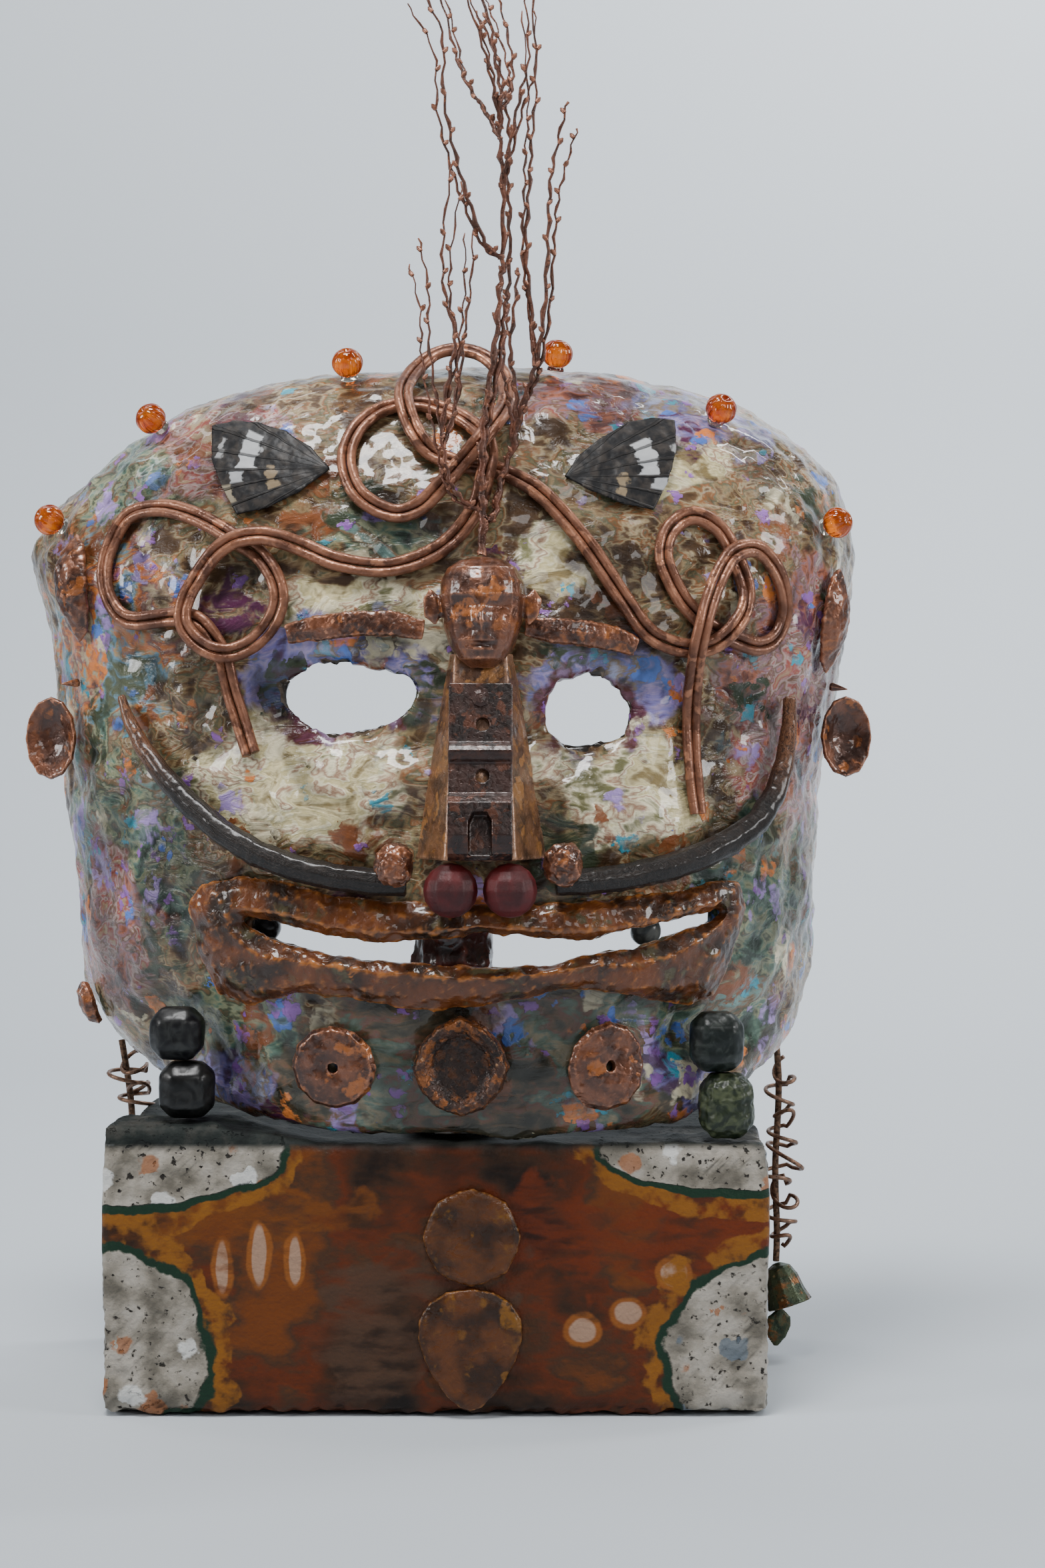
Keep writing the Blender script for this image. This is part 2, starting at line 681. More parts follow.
# Palette, middle across and above, half width, half height
REGIONS = [(TEAL, -96, 206, 28, 22), (PLUM, -66, 212, 22, 16), (CREAM, -20, 160, 34, 8),
           (SKY, -100, 150, 22, 34), (TEAL, -98, 92, 26, 36), (PLUM, -104, 62, 16, 26),
           (PLUM, 52, 226, 22, 12), (VIOLET, 82, 216, 22, 14), (OLIVE, 98, 186, 26, 22),
           (PLUM, 108, 132, 22, 46), (TEAL, 96, 70, 26, 26), (VIOLET, -26, 142, 34, 14),
           (VIOLET, 50, 138, 24, 14), (CREAM, -40, 106, 38, 20), (CREAM, 54, 104, 26, 18),
           (TEAL, -14, 182, 24, 8), (CREAM, 32, 176, 13, 14), (CREAM, 66, 204, 22, 9),
           (JAW, 8, 20, 100, 34), (TEAL, -60, 36, 26, 12), (VIOLET, -66, 16, 14, 9),
           (VIOLET, 78, 22, 14, 12), (TEAL, 84, 40, 16, 16), (RIM, -26, 133, 21.5, 11.6),
           (RIM, 45, 129, 14.0, 12.6)]
COOL_PALETTES = (VIOLET, SKY, PLUM, TEAL, JAW)
# A region's middle from front to back in millimetres, its half depth in metres, how ragged its edge is
REGION_MIDDLE, REGION_DEPTH, REGION_RAGGED = -20, 0.120, 2.6
# Colour, size of the dabs in metres, how many of them show, how much more in the cool regions
DABS = [((0.30, 0.21, 0.46), 0.0150, 0.05, 0.17), ((0.07, 0.15, 0.46), 0.0100, 0.03, 0.10),
        ((0.04, 0.27, 0.36), 0.0080, 0.02, 0.07), ((0.56, 0.17, 0.04), 0.0100, 0.05, 0.05),
        ((0.070, 0.016, 0.045), 0.0200, 0.10, 0.06), ((0.56, 0.50, 0.34), 0.0160, 0.10, 0.04),
        ((0.18, 0.060, 0.022), 0.0180, 0.13, 0.02), ((0.035, 0.045, 0.024), 0.0210, 0.13, 0.00),
        ((0.24, 0.10, 0.36), 0.0055, 0.04, 0.06)]
DAB_SMEAR, DAB_SHIFT, FIRST_SHIFT, DAB_THICKNESS = 1.5, 0.37, 0.11, 0.4

paper_paint, tree, shader, where = new_material("varnished daubs", Coat_Weight=0.55, Coat_Roughness=0.05,
                                                Specular_IOR_Level=0.25)
washes = speckle(tree, where, 0.024, 3.5, 1.3)
strokes = speckle(tree, stretch(tree, where, (0.6, 1.0, 1.4)), 0.0085, 4.0, 1.8)
pick = spread(tree, weigh(tree, washes, strokes, 0.68), 0.37, 0.63)
colour = palette(tree, pick, OLIVE)
fray = speckle(tree, where, 0.016, 5.0)
cool = None
for colours, x, z, half_width, half_height in REGIONS:
    half_size = (half_width * MM, REGION_DEPTH, half_height * MM)
    region = patch_mask(tree, where, at(x, z, REGION_MIDDLE), half_size, fray, REGION_RAGGED)
    colour = blend(tree, region, colour, palette(tree, pick, colours))
    if colours in COOL_PALETTES:
        cool = region if cool is None else calculate(tree, "MAXIMUM", cool, region)
height = strokes
for number, (tint, size, share, more) in enumerate(DABS):
    shown = plus(tree, share, times(tree, cool, more))
    dab = scatter(tree, where, size, DAB_SMEAR, shown, DAB_SHIFT * number + FIRST_SHIFT)
    streaked = times(tree, dab["Mask"], spread(tree, strokes, 0.36, 0.56, 0.10, 1.0))
    colour = blend(tree, streaked, colour, tint)
    height = plus(tree, height, times(tree, dab["Height"], DAB_THICKNESS))
bare_paper = palette(tree, spread(tree, washes, 0.34, 0.66), BARE_PAPER)
within = add_node(tree, "ShaderNodeAttribute", attribute_name="inside").outputs["Fac"]
colour = blend(tree, spread(tree, within, 0.35, 0.65), colour, bare_paper)
dirt = spread(tree, standing_out(tree), 0.462, 0.502, 0.22, 1.10)
grime = spread(tree, speckle(tree, where, 0.034, 6.0, 0.7), 0.38, 0.58, 0.46, 1.15)
gloss = spread(tree, speckle(tree, where, 0.009, 4.0), 0.3, 0.7, 0.16, 0.42)
feed(tree, shader, darken(tree, colour, times(tree, dirt, grime)), gloss)
grit = speckle(tree, where, 0.0019, 5.0)
raise_bump(tree, shader, plus(tree, height, times(tree, grit, 0.30)), 0.0011, 0.9)
hand_over(mask, ["mask_shell"], paper_paint)
print("regions painted:", len(REGIONS))

# %% [markdown]
# Copper paint covers most of what was stuck on. It is brown in the hollows, coppery on what stands out and
# almost pink where it has worn. The same recipe with other colours gives the rust-brown lips, the iron
# latch and the bronze bell.

# %% Painted metals
# How much of a cupped piece's box its dark hollow fills, and the least half size of a hollow in metres
HOLLOW_SHARE = 0.62
HOLLOW_LEAST = 0.004
HOLLOW_DARKNESS, HOLLOW_RAGGED = 0.72, 0.8


def patina_material(name, size, colours, amount, metallic, bump, wear=(0.50, 0.56), hollows=(), **values):
    """Paint with clouds of this size, worn where it stands out. Its colours: main, light, dark, patch."""
    made, tree, shader, where = new_material(name, Metallic=metallic, **values)
    main, light, dark, patch = colours
    parts = use_group(tree, patina, {"Vector": where, "Size": size, "Main": main, "Light": light,
                                     "Dark": dark, "Patch": patch, "Patch Amount": amount,
                                     "Wear": wear_mask(tree, *wear)})
    colour = parts["Colour"]
    for node in hollows:
        low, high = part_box(node)
        middle = [(a + b) / 2 for a, b in zip(low, high)]
        half = [max((b - a) / 2 * HOLLOW_SHARE, HOLLOW_LEAST) for a, b in zip(low, high)]
        within = patch_mask(tree, where, middle, half, parts["Height"], HOLLOW_RAGGED)
        colour = blend(tree, times(tree, within, HOLLOW_DARKNESS), colour, dark)
    feed(tree, shader, colour, parts["Roughness"])
    raise_bump(tree, shader, parts["Height"], bump)
    return made


copper_paint = patina_material(
    "copper paint", 0.009,
    [(0.160, 0.052, 0.021), (0.46, 0.19, 0.10), (0.038, 0.013, 0.007), (0.30, 0.090, 0.018)],
    0.46, 0.40, 0.0004, hollows=("ear_left", "ear_right"), Coat_Weight=0.55, Coat_Roughness=0.08)
twig_paint = patina_material(
    "twig paint", 0.005,
    [(0.105, 0.034, 0.018), (0.40, 0.17, 0.10), (0.035, 0.013, 0.008), (0.17, 0.060, 0.030)],
    0.46, 0.35, 0.0003, wear=(0.56, 0.70))
wire_paint = patina_material(
    "copper wire paint", 0.010,
    [(0.26, 0.108, 0.060), (0.58, 0.31, 0.21), (0.095, 0.036, 0.020), (0.36, 0.155, 0.085)],
    0.50, 0.45, 0.0003, wear=(0.56, 0.68))
lip_paint = patina_material(
    "rust-brown lips", 0.013,
    [(0.125, 0.034, 0.007), (0.38, 0.130, 0.026), (0.022, 0.010, 0.005), (0.070, 0.056, 0.026)],
    0.46, 0.0, 0.0008, wear=(0.505, 0.545), Coat_Weight=0.45, Coat_Roughness=0.06, Specular_IOR_Level=0.3)
iron = patina_material(
    "rusty iron", 0.006,
    [(0.034, 0.013, 0.009), (0.15, 0.060, 0.036), (0.010, 0.005, 0.004), (0.075, 0.023, 0.010)],
    0.5, 0.40, 0.0003, wear=(0.53, 0.62), Coat_Weight=0.35, Coat_Roughness=0.2)
cap_iron = patina_material(
    "rough iron cap", 0.005,
    [(0.060, 0.027, 0.017), (0.34, 0.18, 0.09), (0.015, 0.008, 0.006), (0.22, 0.070, 0.016)],
    0.52, 0.35, 0.0006, wear=(0.52, 0.62), hollows=("chin_cap",))
gold_wedge = patina_material(
    "streaked wedge", 0.008,
    [(0.19, 0.085, 0.038), (0.48, 0.26, 0.155), (0.060, 0.027, 0.015), (0.31, 0.135, 0.040)],
    0.5, 0.35, 0.0004, Coat_Weight=0.4, Coat_Roughness=0.18)
rust_relief = patina_material(
    "rust painted relief", 0.012,
    [(0.085, 0.028, 0.008), (0.30, 0.120, 0.026), (0.022, 0.009, 0.004), (0.15, 0.062, 0.008)],
    0.46, 0.0, 0.0006, wear=(0.515, 0.56), Specular_IOR_Level=0.30)
green_bronze = patina_material(
    "green bronze", 0.006,
    [(0.055, 0.070, 0.036), (0.36, 0.25, 0.12), (0.012, 0.024, 0.015), (0.17, 0.070, 0.022)],
    0.5, 0.6, 0.0003, wear=(0.52, 0.62))
print("painted metals ready")

# %% [markdown]
# Two parallel strands of thick wire run together in loops over the forehead. A single route is drawn,
# lifted where it crosses itself, and set on the mask. Each strand is then a curve beside it.

# %% The doubled wire
WIRE_THICKNESS = 0.0029
WIRE_SPACING = 0.0030
WIRE_GLUE = 0.0009
# Across, above, and how many wires lie beneath
WIRE_ROUTE = [(-55, 116, 0), (-61, 134, 0), (-64, 146, 0), (-70, 155, 0), (-78, 157.5, 0),
              (-94, 157, 0), (-101, 165, 0), (-102, 176, 0), (-96, 189, 0), (-85, 191.5, 0),
              (-75, 189, 0), (-67, 185, 0), (-60, 180.5, 0), (-53, 176, 0), (-48, 169, 0),
              (-46.5, 162, 0), (-49, 155, 0), (-54.5, 149, 0.5), (-62, 146, 1.1), (-70, 148.5, 1.1),
              (-75.5, 155, 1.1), (-75, 162, 1.0), (-71.5, 169, 0.6), (-66, 176, 1.0), (-60, 180, 1.1),
              (-53, 181.2, 1.1), (-47, 180.3, 0.6), (-40, 178, 0), (-28, 173, 0), (-13, 171.5, 0),
              (0, 176, 0), (8, 183, 0), (13, 191, 0.4), (15, 199, 1.1), (16, 205, 1.1), (15, 211, 0.8),
              (11, 216, 0.2), (4, 220.5, 0), (-6, 223.5, 0), (-16, 222, 0), (-24, 215, 0), (-27, 205, 0),
              (-23, 194, 0), (-13, 188, 0), (-5, 189.5, 0.2), (1, 195, 0.8), (7, 202, 1.2), (13, 209, 2.2),
              (18, 216, 1.8), (21.5, 224, 0.6), (20.5, 233, 0), (15, 240, 0), (7, 243, 0), (-1, 241.5, 0),
              (-7, 236, 0.2), (-10, 229, 0.9), (-9.5, 222, 1.1), (-6, 213, 0.6), (-1, 207, 0), (7, 203.5, 0),
              (16, 202, 0), (24, 199, 0), (33, 193, 0), (45, 179, 0), (56.5, 162, 0), (63.5, 152.5, 0),
              (71, 148.5, 0), (78, 147.5, 0.6), (84, 149, 1.1), (89, 153, 1.1), (93, 159, 0.9),
              (94, 166, 0.2),
              (91, 175, 0), (86, 184, 0), (78, 188, 0), (71, 184, 0), (68.5, 176, 0), (71, 168, 0),
              (75.5, 160.5, 0), (82, 154.5, 0), (90, 151, 0), (98, 149, 0), (104, 152, 0), (107, 160, 0),
              (105.5, 169, 0), (101, 176, 0), (96, 178.5, 0.6), (90, 176.5, 1.1), (86, 171, 1.1),
              (83, 164, 1.1), (80.5, 156, 1.6), (78.5, 147, 1.6), (77.5, 138, 0.8), (77, 126, 0),
              (77.5, 112, 0), (79, 98, 0)]
WIRE_STEPS = 5
WIRE_CLEARANCE = 0.0003

middles, outs = [], []
for x, z, under in smooth_points(WIRE_ROUTE, WIRE_STEPS):
    lift = WIRE_GLUE + WIRE_THICKNESS / 2 + max(under, 0) * (WIRE_THICKNESS + WIRE_CLEARANCE)
    place, out_way = surface_at(x, z, lift)
    middles.append(place)
    outs.append(out_way)
strands = []
for side in (-1, 1):
    places = []
    for i, (place, out_way) in enumerate(zip(middles, outs)):
        ahead = middles[min(i + 2, len(middles) - 1)] - middles[max(i - 2, 0)]
        places.append(place + ahead.cross(out_way).normalized() * side * WIRE_SPACING / 2)
    strands.append(to_mesh(line(f"strand_{side}", places, WIRE_THICKNESS, wire_paint, resolution=3)))


def join(objects, name):
    deselect()
    for obj in objects:
        obj.select_set(True)
    bpy.context.view_layer.objects.active = objects[0]
    bpy.ops.object.join()
    bpy.context.object.name = name
    return bpy.context.object


wire = join(strands, "doubled_wire")
press(wire, "CLOUDS", 0.0035, 0.0003)
hand_over(wire, ["wire_loops"], wire_paint)
print("wire:", round(route_length(middles) * 1000), "mm,", len(wire.data.polygons), "faces")

# %% [markdown]
# The twigs are one bundle, painted copper. Each is a tapering line that starts on its parent, with a bud
# every few millimetres: a small swelling of the line.

# %% The twigs
TWIG_THICKNESS = 0.0023
TWIG_STEPS = 6
TWIG_TAPER = 0.62
TWIG_KINK = 0.45
SIDE_TWIG_SHARE = 0.8
PARTING = 3.4
BUD_SPACING = 4
BUD_SWELLING = 1.55
BUD_THICKNESS, BUD_BELLY, BUD_TIP = 0.0013, 0.0012, 0.0021
# The stem's foot: across, above and how far in front of the mask
FOOT = (14, 175, 5.5)
# Share of the full thickness, then across, above and how far behind the stem's foot
TWIGS = [
    (1.0, [(14, 175, 0), (14.5, 187, 0), (14, 197, -0.5), (14.5, 211, -1), (16, 222, -1), (18.5, 240, 0),
           (19.5, 254, 1), (20.4, 263, 2), (20.4, 284, 3), (19.5, 298, 4), (19.8, 312, 5), (18, 324, 6),
           (16, 336, 7), (9, 352.7, 9)]),
    (0.85, [(14.6, 185, 0), (18, 187, 1), (20, 198, 3), (24.2, 210, 4), (24.2, 224, 5), (22.5, 236, 7),
            (24, 252, 9), (25, 262, 10)]),
    (0.7, [(24.2, 212, 4.5), (27, 222, 3), (30, 231, 2), (32.6, 247, 1), (33.8, 268, 0), (34.3, 283, -1),
           (36.5, 296, -2), (39.5, 308, -3)]),
    (0.6, [(30, 231, 2), (28.6, 250, 5), (27.2, 267, 6), (28.2, 285, 7), (29, 300, 8), (30.3, 318, 9),
           (29, 346, 10)]),
    (0.55, [(20.4, 284, 3), (22.5, 296, 1), (25.5, 311, 0), (28, 322, -1), (27, 340, -2)]),
    (0.6, [(20.4, 263, 2), (15.3, 267, 0), (10, 280, -2), (6, 294, -3), (3, 310, -4), (2.4, 328, -5),
           (-5, 343, -6)]),
    (0.55, [(19.6, 299, 4), (14.5, 309, 7), (8.5, 319, 9), (5, 331, 11), (0, 350, 13)]),
    (0.5, [(19.8, 308, 5), (22.8, 315, 9), (23, 325, 11), (20, 340, 13), (16, 352, 14)]),
    (0.5, [(19.8, 302, 4.5), (17, 316, 1), (13, 330, -1), (6, 349, -3)]),
    (0.6, [(14.2, 188, 0), (9, 190.5, -1), (5, 196, -1.5), (3, 205, -2), (1, 219, -2), (-1.5, 238, 0),
           (-1.8, 254, 1), (-4.6, 269, 2)]),
    (0.55, [(2.4, 211, -2), (4, 224, -4), (6.4, 238, -5), (3.2, 252, -6), (3, 268, -7), (5.6, 289, -8)]),
    (0.5, [(2.8, 206, -2), (7, 222, 2), (8.6, 240, 6), (10.8, 257, 8), (11.5, 277, 10)]),
]


def beside(route, way):
    """The same route again, which parts from it on the way up and ends a little lower."""
    return [(x + PARTING * way * k / len(route), z - k, d + PARTING * k / len(route))
            for k, (x, z, d) in enumerate(route)]


def twig_line(name, places, thickness, sizes):
    return to_mesh(line(name, places, thickness, twig_paint, sizes, 1))


foot_y = surface_at(*FOOT[:2])[0].y - FOOT[2] * MM
twig_lines = []
side_twigs = [(size * SIDE_TWIG_SHARE, beside(route, (-1) ** n)) for n, (size, route) in enumerate(TWIGS)]
for number, (size, route) in enumerate(TWIGS + side_twigs):
    places, sizes = [], []
    path = smooth_points(route, TWIG_STEPS)
    for i, (x, z, d) in enumerate(path):
        share = i / (len(path) - 1)
        kink = TWIG_KINK * math.sin(i * 1.9 + number * 1.3)
        places.append(Vector(((x + kink) * MM, foot_y + d * MM, BLOCK_TOP + z * MM)))
        swelling = BUD_SWELLING if i % BUD_SPACING == number % BUD_SPACING else 1.0
        sizes.append(size * (1 - TWIG_TAPER * share) * swelling)
    twig_lines.append(twig_line(f"twig_{number}", places, TWIG_THICKNESS, sizes))
    for i in range(BUD_SPACING, len(path) - 1, BUD_SPACING):
        side = 1 if (i // BUD_SPACING) % 2 else -1
        lean = Vector((side * 0.8, 0.5 * math.sin(i), 1.0)).normalized()
        bud = [places[i] + lean * far for far in (0, BUD_BELLY, BUD_TIP)]
        twig_lines.append(twig_line("bud", bud, BUD_THICKNESS, [1.0, 1.2, 0.3]))
twigs = join(twig_lines, "copper_twigs")
hand_over(twigs, ["twigs"], twig_paint)
print("twigs:", len(twigs.data.polygons), "faces")

# %% [markdown]
# The lips, the discs, the pods, the ears and the rest of the stuck-on pieces were modelled or cast by hand,
# so they are uneven in the same way as the mask. One list says, for each, how fine its cells are, how far
# its facets melt, and what relief is pressed into it.

# %% The stuck-on pieces
# Node: cell, rounds of melting, relief as (texture, lump size, height), material, slot
PIECES = {
    "lips": (0.8, 26, [("CLOUDS", 8, 2.4), ("CLOUDS", 2.5, 0.7)], lip_paint, "rust_paint"),
    "nose_wedge": (0.75, 6, [("CLOUDS", 6, 0.5), ("CLOUDS", 1.8, 0.25)], gold_wedge, "copper_paint"),
    "latch": (0.42, 3, [("CLOUDS", 2.2, 0.22)], iron, "rusty_iron"),
    "latch_screw": (0.12, 3, [], iron, "rusty_iron"),
    "small_head": (0.5, 6, [("CLOUDS", 2.6, 0.3)], copper_paint, "copper_paint"),
    "brow_left": (0.4, 20, [("CLOUDS", 4, 1.0), ("CLOUDS", 1.2, 0.4)], copper_paint, "copper_paint"),
    "brow_right": (0.4, 20, [("CLOUDS", 4, 1.0), ("CLOUDS", 1.2, 0.4)], copper_paint, "copper_paint"),
    "ear_left": (0.4, 14, [("CLOUDS", 3, 0.5)], copper_paint, "copper_paint"),
    "ear_right": (0.4, 14, [("CLOUDS", 3, 0.5)], copper_paint, "copper_paint"),
    "thorn_left": (0.15, 6, [], copper_paint, "copper_paint"),
    "thorn_right": (0.15, 6, [], copper_paint, "copper_paint"),
    "pod_left": (0.5, 10, [("CLOUDS", 2.4, 0.8)], copper_paint, "copper_paint"),
    "pod_right": (0.5, 10, [("CLOUDS", 2.4, 0.8)], copper_paint, "copper_paint"),
    "disc_left": (0.45, 8, [("CLOUDS", 3, 0.7), ("CLOUDS", 1, 0.2)], copper_paint, "copper_paint"),
    "disc_right": (0.45, 8, [("CLOUDS", 3, 0.7), ("CLOUDS", 1, 0.2)], copper_paint, "copper_paint"),
    "chin_cap": (0.45, 7, [("CLOUDS", 2.4, 1.0), ("CLOUDS", 0.9, 0.4)], cap_iron, "rusty_iron"),
    "nugget_left": (0.3, 10, [("CLOUDS", 2.6, 1.2)], copper_paint, "copper_paint"),
    "nugget_right": (0.3, 10, [("CLOUDS", 2.6, 1.2)], copper_paint, "copper_paint"),
    "knot_left": (0.35, 10, [("CLOUDS", 2.4, 0.8)], copper_paint, "copper_paint"),
    "flower": (0.5, 8, [("CLOUDS", 3, 0.8)], rust_relief, "rust_paint"),
    "leaf": (0.5, 8, [("CLOUDS", 4, 0.8)], rust_relief, "rust_paint"),
    "bell": (0.4, 8, [("CLOUDS", 2, 0.2)], green_bronze, "green_bronze"),
    "charm_leaf": (0.25, 6, [("CLOUDS", 2, 0.2)], green_bronze, "green_bronze"),
}
finished = {}
for node, (cell, rounds, reliefs, finish, slot) in PIECES.items():
    piece = refine(node, cell * MM, rounds, open_mouth_end if node == "lips" else None)
    for kind, size, height in reliefs:
        press(piece, kind, size * MM, height * MM)
    finished[node] = hand_over(piece, [node], finish)
print({name: len(piece.data.polygons) for name, piece in finished.items()})

# %% [markdown]
# A thong is a free cord, so its facts are declared: where it leaves the mask, its length and thickness, what
# hangs on its end and how it lies. This comes after the bell and its leaf, which hang on the right one.

on_left, on_right = [coils["left"]], [coils["right"], finished["bell"], finished["charm_leaf"]]
for side, with_pieces, end in (("left", on_left, "bare"), ("right", on_right, "fitting")):
    piece, places = thongs[side]
    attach(piece, "root")
    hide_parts(f"thong_{side}")
print("cords declared")

# %% [markdown]
# The tusks are horn: black-brown and fibrous along their length, with coppery tips. The fibres have to
# follow the curve, so each point of a tusk stores how far along the curve it lies, and the pattern is drawn
# on that.

# %% The tusks
FIBRE_SCALE = (60, 2400, 2400)
TIP_LENGTH = 0.040
horn, tree, shader, where = new_material("dark horn", Coat_Weight=0.35, Coat_Roughness=0.18,
                                         Specular_IOR_Level=0.25)
along = add_node(tree, "ShaderNodeAttribute", attribute_name="grain").outputs["Vector"]
fibres = lumps(tree, stretch(tree, along, FIBRE_SCALE), 1.0)[0]
tips = spread(tree, axes_of(tree, along)[0], TIP_LENGTH, 0.008)
dark = blend(tree, spread(tree, fibres, 0.35, 0.70), (0.0025, 0.002, 0.0018), (0.020, 0.012, 0.008))
warm = blend(tree, spread(tree, fibres, 0.35, 0.65), (0.045, 0.017, 0.008), (0.24, 0.100, 0.045))
feed(tree, shader, blend(tree, tips, dark, warm), spread(tree, fibres, 0.3, 0.7, 0.55, 0.30))
raise_bump(tree, shader, fibres, 0.0005)

TUSK_RADIUS = 0.0041
TUSK_GLUE = 0.0010
TUSK_STEPS = 12
# Across, above, and the share of the full radius
TUSKS = {"tusk_left": [(-97, 134, 0.32), (-94, 126, 0.52), (-89, 117.5, 0.7), (-82, 109, 0.82),
                       (-73, 100, 0.9), (-64, 93, 0.95), (-53, 86.5, 1), (-41, 82.2, 1), (-29, 79.5, 1),
                       (-17, 78.2, 1), (-8, 77.8, 0.95)],
         "tusk_right": [(109, 134, 0.5), (108.7, 125, 0.62), (107.5, 114.5, 0.76), (104, 104, 0.88),
                        (98, 95.5, 0.97), (89, 89.5, 1.02), (80, 85.5, 1.03), (69, 82, 1.03), (55, 79.2, 1),
                        (45, 78.2, 1), (36, 77.8, 0.95)]}


def store_grain(obj, places):
    """Write at each point how far along the route it lies and how far it is off the route's middle."""
    finder = KDTree(len(places))
    for i, place in enumerate(places):
        finder.insert(place, i)
    finder.balance()
    distances = np.concatenate([[0], np.cumsum([(b - a).length for a, b in zip(places, places[1:])])])
    values = []
    for vertex in obj.data.vertices:
        centre, i, _ = finder.find(vertex.co)
        off = vertex.co - centre
        values += [distances[i], off.y, off.z + off.x]
    layer = obj.data.attributes.new("grain", "FLOAT_VECTOR", "POINT")
    layer.data.foreach_set("vector", values)


for name, route in TUSKS.items():
    tusk = refine(name, 0.0006, 30)
    places = [surface_at(x, z, TUSK_GLUE + TUSK_RADIUS * share)[0]
              for x, z, share in smooth_points(route, TUSK_STEPS)]
    press(tusk, "CLOUDS", 0.004, 0.0007)
    store_grain(tusk, places)
    finished[name] = hand_over(tusk, [name], horn)
print("tusks:", len(finished["tusk_left"].data.polygons), "faces each")

# %% [markdown]
# Frosted balls of dark red glass hang below the nose, and ribbed amber beads stand along the top edge, each
# on a drop of clear glue. Glass keeps plain values for its transmission; only its colour and its bump
# change over the surface.


# %% Glass
def cloudy_glass(name, size, detail, dark, light, grain, **values):
    """Glass whose colour goes between two tones in clouds of this size, with a fine grain of its surface."""
    made, tree, shader, where = new_material(name, IOR=1.5, **values)
    feed(tree, shader, blend(tree, spread(tree, speckle(tree, where, size, detail), 0.3, 0.7), dark, light))
    raise_bump(tree, shader, speckle(tree, where, grain, detail), 0.0001)
    return made


red_glass = cloudy_glass("frosted red glass", 0.006, 3.0, (0.060, 0.0015, 0.003), (0.15, 0.004, 0.006),
                         0.0006, Transmission_Weight=0.50, Roughness=0.55, Specular_IOR_Level=0.35)
amber_glass = cloudy_glass("amber glass", 0.004, 2.0, (0.45, 0.045, 0.004), (0.93, 0.23, 0.012), 0.0015,
                           Transmission_Weight=0.80, Roughness=0.04)
clear_glue, tree, shader, where = new_material("clear glue", Transmission_Weight=1.0, Roughness=0.08,
                                               IOR=1.45, Base_Color=(0.85, 0.78, 0.66, 1))
raise_bump(tree, shader, speckle(tree, where, 0.003, 2.0), 0.0002)

for node in ("marble_left", "marble_right"):
    marble = refine(node, 0.0004, 30)
    hand_over(marble, [node], red_glass)
print("glass ready, marbles:", len(marble.data.polygons), "faces each")

# %% [markdown]
# Each bead is a fine ball. Its points are pulled in along twelve grooves that fade towards the ends, and
# sunk round the hole. It stands on a flattened drop of glue where the modelled bead comes nearest to the
# mask.

# %% The ribbed beads
BEAD_COUNT = 6
BEAD_RADIUS = 0.0049
BEAD_RIBS = 12
RIB_DEPTH = 0.09
RIB_ROUNDNESS = 0.6
BEAD_HEIGHT = 0.93
HOLE_DEPTH, HOLE_RADIUS = 0.22, 0.0011
STANDING = 1.06
GLUE_RADIUS, GLUE_ABOVE, GLUE_BELOW = 0.0027, 0.85, 0.25
TOUCHING_CORNERS = 8


def ball(name, radius):
    """A fine ball at the origin, ready to be shaped."""
    deselect()
    bpy.ops.mesh.primitive_uv_sphere_add(segments=72, ring_count=36, radius=radius)
    bpy.context.object.name = name
    bpy.ops.object.shade_smooth()
    return bpy.context.object


def foot_and_axis(node):
    """Where a modelled bead touches the mask, and which way it stands up from there."""
    rough_bead = copy_of(node, "rough bead")
    corners = points_of(rough_bead)
    gaps = [face.find_nearest(Vector(c))[3] for c in corners]
    foot = Vector(corners[np.argsort(gaps)[:TOUCHING_CORNERS]].mean(axis=0))
    axis = (Vector(corners.mean(axis=0)) - foot).normalized()
    bpy.data.objects.remove(rough_bead)
    return foot, axis


for number in range(1, BEAD_COUNT + 1):
    node = f"bead_{number}"
    foot, axis = foot_and_axis(node)
    turn = np.array(axis.to_track_quat("Z", "Y").to_matrix()).T
    bead = ball(f"melon_bead_{number}", BEAD_RADIUS)
    points = points_of(bead)
    around = np.arctan2(points[:, 1], points[:, 0])
    high = points[:, 2] / BEAD_RADIUS
    groove = np.abs(np.sin(around * BEAD_RIBS / 2)) ** RIB_ROUNDNESS
    width = 1 - RIB_DEPTH * (1 - groove) * (1 - high ** 4)
    points[:, :2] *= width[:, None]
    from_hole = np.hypot(points[:, 0], points[:, 1]) / HOLE_RADIUS
    points[:, 2] *= BEAD_HEIGHT - HOLE_DEPTH * np.exp(-from_hole ** 2)
    set_points(bead, points @ turn + np.array(foot + axis * BEAD_RADIUS * STANDING))
    glue = ball("glue drop", GLUE_RADIUS)
    points = points_of(glue)
    points[:, 2] *= np.where(points[:, 2] > 0, GLUE_ABOVE, GLUE_BELOW)
    set_points(glue, points @ turn + np.array(foot))
    bead.data.materials.append(amber_glass)
    glue.data.materials.append(clear_glue)
    bead = join([bead, glue], f"melon_bead_{number}")
    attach(bead, "root")
    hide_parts(node)
print("beads:", BEAD_COUNT)

# %% [markdown]
# Polished black stones stand on the block at the left, and dark green ones at the right. The low one at the
# right is pebbled like a fish's scales.

